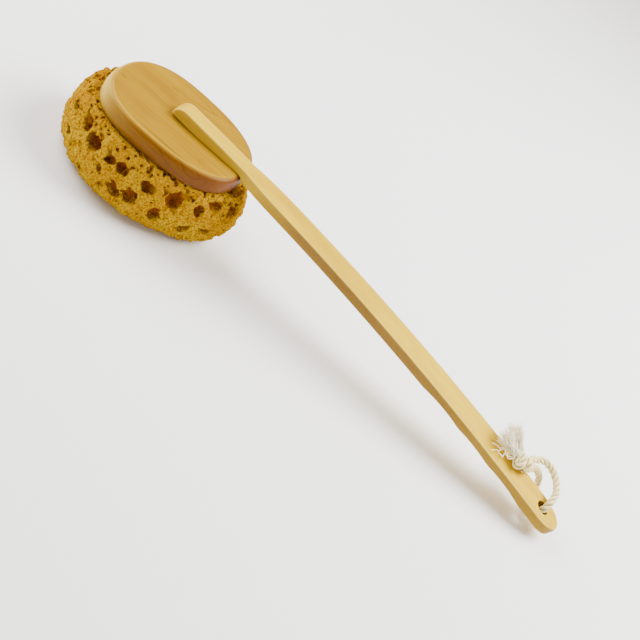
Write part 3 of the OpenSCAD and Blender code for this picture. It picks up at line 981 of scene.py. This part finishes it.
def carve(field, low, centre, radius, blend):
    """Takes a ball out of the sponge, with a soft lip."""
    reach = radius + 2 * blend + VOXEL
    first = np.maximum(((centre - reach - low) / VOXEL).astype(int), 0)
    last = np.minimum(((centre + reach - low) / VOXEL).astype(int) + 2, field.shape)
    if (last <= first).any():
        return
    grid = [low[k] + VOXEL * np.arange(first[k], last[k]) - centre[k] for k in range(3)]
    x, y, z = np.meshgrid(*grid, indexing="ij", sparse=True)
    ball = radius - np.sqrt(x**2 + y**2 + z**2)
    part = field[first[0]:last[0], first[1]:last[1], first[2]:last[2]]
    mixing = np.clip(0.5 + 0.5 * (ball - part) / blend, 0, 1)
    part[:] = part * (1 - mixing) + ball * mixing + blend * mixing * (1 - mixing)


def inward_at(body, cells):
    """Unit directions into the form at cells of its grid."""
    slope = [
        body[tuple((cells + step).T)] - body[tuple((cells - step).T)] for step in np.eye(3, dtype=int)]
    return -unit(np.stack(slope, axis=-1) + 1e-6)


def skin_points(rng, body, low, count, apart):
    """Random points on the form's skin, one in each cube that is apart wide, and the ways inward."""
    shell = np.argwhere(np.abs(body) < 0.5 * VOXEL)
    chosen = {}
    for i in shell[rng.permutation(len(shell))]:
        chosen.setdefault(tuple((i * VOXEL / apart).astype(int)), i)
        if len(chosen) == count:
            break
    chosen = np.clip(list(chosen.values()), 1, np.array(body.shape) - 2)
    return low + VOXEL * chosen, inward_at(body, chosen)


def big_pore_at(body, low, angle, z):
    """Where a ray from outside meets the form at that angle and height, and the inward direction."""
    ray = np.array([math.cos(math.radians(angle)), math.sin(math.radians(angle))])
    for reach in np.arange(80, 20, -0.3):
        point = np.array([*(ray * reach), z])
        i = np.round((point - low) / VOXEL).astype(int)
        if (i > 0).all() and (i < np.array(body.shape) - 1).all() and body[tuple(i)] <= 0:
            return point, inward_at(body, i)
    return None


def dig(rng, field, low, point, inward, radius):
    """An irregular bowl-shaped pore: two overlapping hollows, with smaller ones in their floor."""
    across = unit(np.cross(inward, rng.normal(0, 1, 3)))
    for shift, share in ((-0.28, 0.95), (0.32, 0.8)):
        carve(field, low, point + (0.2 * inward + shift * across) * radius, radius * share, 1.2)
    for _ in range(6 if radius > 2 else 2):
        wander = rng.normal(0, 1, 3)
        wander = unit(wander - inward * (wander @ inward))
        centre = point + radius * (inward * rng.uniform(0.35, 0.85) + wander * rng.uniform(0.1, 0.6))
        carve(field, low, centre, radius * rng.uniform(0.25, 0.42), 0.5)


def sponge_field(rng):
    """The porous sponge and its outer form, both as fields on one grid, and the grid's lowest corner."""
    body, low = sponge_form()
    field = body.copy()
    field += 0.8 * field_noise(rng, field.shape, 20 / VOXEL)
    field += 0.6 * field_noise(rng, field.shape, 7 / VOXEL)
    for angle, z, radius in BIG_PORES:
        found = big_pore_at(body, low, angle, z)
        if found:
            dig(rng, field, low, *found, BIG_PORE_GROWTH * radius)
    for count, apart, small, large, from_z in PORE_SETS:
        points, inward = skin_points(rng, body, low, count, apart)
        for point, way in zip(points, inward):
            if point[2] < from_z:
                continue
            radius = rng.uniform(small, large) * (1 + 0.4 * smooth((point[2] - WIDER_Z) / FADE))
            if large < LARGE_PORE:
                carve(field, low, point + way * 0.5 * radius, radius, 0.5)
            elif point[1] > FAR_Y or point[2] < LOW_Z:
                dig(rng, field, low, point, way, radius)
    field += 0.65 * field_noise(rng, field.shape, 2.6 / VOXEL)
    field += 0.7 * field_noise(rng, field.shape, 1.25 / VOXEL) - 0.6
    z = low[2] + VOXEL * np.arange(field.shape[2])
    field = np.maximum(field, 0.15 - z)
    field = np.maximum(field, z - SPONGE_H + 0.1)
    return field, body, low


def surface_quads(field):
    """Vertices, in grid units, and quads of the surface where the field crosses zero."""
    inside = field < 0
    corners = [(i, j, k) for i in (0, 1) for j in (0, 1) for k in (0, 1)]
    shape = np.array(field.shape) - 1
    count = np.zeros(shape, np.int8)
    for c in corners:
        count += inside[tuple(slice(c[a], c[a] + shape[a]) for a in range(3))]
    active = (count > 0) & (count < 8)
    cells = np.argwhere(active)
    number = np.full(shape, -1, np.int64)
    number[active] = np.arange(len(cells))
    values = {c: field[tuple((cells + c).T)] for c in corners}
    total = np.zeros((len(cells), 3))
    hits = np.zeros(len(cells))
    for a in corners:
        for b in corners:
            if sum(b) - sum(a) != 1 or sum(abs(p - q) for p, q in zip(a, b)) != 1:
                continue
            crosses = (values[a] < 0) != (values[b] < 0)
            t = np.where(crosses, values[a] / np.where(crosses, values[a] - values[b], 1), 0)
            total += crosses[:, None] * (np.array(a) + t[:, None] * (np.array(b) - a))
            hits += crosses
    verts = cells + total / hits[:, None]
    quads = []
    for axis in range(3):
        u, v = (axis + 1) % 3, (axis + 2) % 3
        near = [slice(1, -1)] * 3
        near[axis] = slice(0, -1)
        far = list(near)
        far[axis] = slice(1, None)
        a, b = inside[tuple(near)], inside[tuple(far)]
        for change, turn in ((a & ~b, 1), (~a & b, -1)):
            edge = np.argwhere(change)
            around = []
            for du, dv in ((0, 0), (1, 0), (1, 1), (0, 1)):
                cell = edge.copy()
                cell[:, u] += du
                cell[:, v] += dv
                around.append(number[tuple(cell.T)])
            quads.append(np.stack(around[::turn], axis=1))
    return verts, np.vstack(quads)


def largest_shell(verts, quads):
    """Drops crumbs and closed bubbles, keeping the one connected skin."""
    label = np.arange(len(verts))
    while True:
        low = label[quads].min(axis=1)
        fresh = label.copy()
        for k in range(4):
            np.minimum.at(fresh, quads[:, k], low)
        fresh = fresh[fresh]
        if (fresh == label).all():
            break
        label = fresh
    keep = np.argmax(np.bincount(label))
    quads = quads[label[quads[:, 0]] == keep]
    used, quads = np.unique(quads, return_inverse=True)
    return verts[used], quads.reshape(-1, 4)


def make_sponge(rng):
    """Cuts the sponge's surface out of its field, and gives back the surface's points."""
    field, body, low = sponge_field(rng)
    verts, quads = largest_shell(*surface_quads(field))
    nearest = np.minimum(np.round(verts).astype(int), np.array(body.shape) - 1)
    # How deep each point lies under the outer form, for the pores' painted shade
    depth = -body[tuple(nearest.T)]
    verts = low + VOXEL * verts + [HEAD_X, 0, 0]
    sheets = Sheets()
    sheets.add(verts, quads, depth=depth, band=smooth((verts[:, 2] - SHADED_Z) / FADE))
    sponge = sheets.piece("sponge_porous", sponge_look, "brush", "sponge", "sponge")
    return verts


sponge_skin = make_sponge(np.random.default_rng(11))

# ---- glue between paddle and sponge ----

BEAD_RINGS, BEAD_SIDES = np.radians([-80, -48, -16, 16, 48, 80]), 10
BEAD_TRIES, BEAD_SHARE = 1400, 0.12


def within_paddle(place):
    """Whether a place lies under the paddle."""
    along = place[0] - PADDLE_MID_X
    reach, power = (PADDLE_NOSE, NOSE_POWER) if along < 0 else (PADDLE_HEEL, HEEL_POWER)
    return (abs(along) / reach) ** power + (abs(place[1]) / PADDLE_HALF_W) ** power < 1


def bead_at(place, size):
    """Vertices of a slightly flattened drop."""
    verts = []
    for b in BEAD_RINGS:
        for t in np.linspace(0, 2 * math.pi, BEAD_SIDES, endpoint=False):
            way = [math.cos(b) * math.cos(t), math.cos(b) * math.sin(t), 0.75 * math.sin(b)]
            verts.append(place + size * np.array(way))
    return verts


def make_glue(rng):
    """The film, squeezed a little out of the joint, and beads of glue on the sponge round the rim."""
    sheets = Sheets()
    angles = np.linspace(0, 2 * math.pi, 180, endpoint=False)
    wander = np.interp(angles, np.linspace(0, 2 * math.pi, 41), np.resize(rng.uniform(-0.7, 0.7, 40), 41))
    rings = []
    for inset, share in ((2.4, 0.98), (1.7, 0.75), (1.5, 0.5), (1.7, 0.25), (2.4, 0.02)):
        z = SPONGE_H + share * (PADDLE_Z - SPONGE_H)
        ring = []
        for a, shift in zip(angles, wander):
            x, w = egg(a if a <= math.pi else 2 * math.pi - a, inset + shift)
            ring.append([x, w if a <= math.pi else -w, z])
        rings.append(ring)
    sheets.add(rings, stack(len(rings), len(angles)))
    rim = np.array([egg(a, 0) for a in np.linspace(0, math.pi, 90)])
    near = sponge_skin[sponge_skin[:, 2] > 0.78 * SPONGE_H]
    for place in near[rng.permutation(len(near))[:BEAD_TRIES]]:
        away = np.hypot(rim[:, 0] - place[0], rim[:, 1] - abs(place[1])).min()
        if within_paddle(place) or not 0.4 < away < 5.5 or rng.uniform() > BEAD_SHARE:
            continue
        sheets.add(bead_at(place, rng.uniform(0.3, 0.62)), stack(len(BEAD_RINGS), BEAD_SIDES))
    sheets.piece("sponge_glue_squeezed", glue_look, "brush", "sponge_glue", "glue")


make_glue(np.random.default_rng(5))

# ---- CAD pieces that keep their shape ----

for node, look in (("handle_screws", steel_look), ("handle_glue", glue_look)):
    data = frame["nodes"][node].data
    data.materials.clear()
    data.materials.append(look)

# ---- floor and light ----


def add_floor():
    far = 3.0
    corners = [(-far, -far, 0), (far, -far, 0), (far, far, 0), (-far, far, 0)]
    mesh = bpy.data.meshes.new("floor")
    mesh.from_pydata(corners, [], [(0, 1, 2, 3)])
    n = Nodes("floor_white")
    tone = n.noise(n.place((2, 2, 2)), detail=1)
    n.set(Base_Color=n.mix(tone, rgb(0.9, 0.9, 0.9), rgb(0.92, 0.92, 0.92)), Roughness=0.9)
    mesh.materials.append(n.material)
    floor = bpy.data.objects.new("floor", mesh)
    bpy.context.collection.objects.link(floor)


def add_light(name, place, target, size, power):
    lamp = bpy.data.lights.new(name, "AREA")
    lamp.shape = "DISK"
    lamp.size = size
    lamp.energy = power
    light = bpy.data.objects.new(name, lamp)
    light.location = place
    light.rotation_euler = (Vector(target) - Vector(place)).to_track_quat("-Z", "Y").to_euler()
    bpy.context.collection.objects.link(light)


def add_world(strength):
    world = bpy.data.worlds.new("studio")
    world.use_nodes = True
    sky = world.node_tree.nodes["Background"]
    sky.inputs["Color"].default_value = (1, 0.84, 0.64, 1)
    sky.inputs["Strength"].default_value = strength
    bpy.context.scene.world = world


add_floor()
add_light("key", (0.7, 0.44, 1.0), (0.03, 0, 0.03), 1.0, 56)
add_light("head_key", (-0.95, 0.2, 0.65), (-0.15, 0, 0.04), 1.2, 31)
add_light("window", (-0.8, -0.95, 0.14), (-0.15, 0, 0.05), 0.1, 4.5)
add_light("heel_fill", (0.4, -0.6, 0.22), (-0.02, 0, 0.02), 0.4, 1.2)
add_world(0.5)
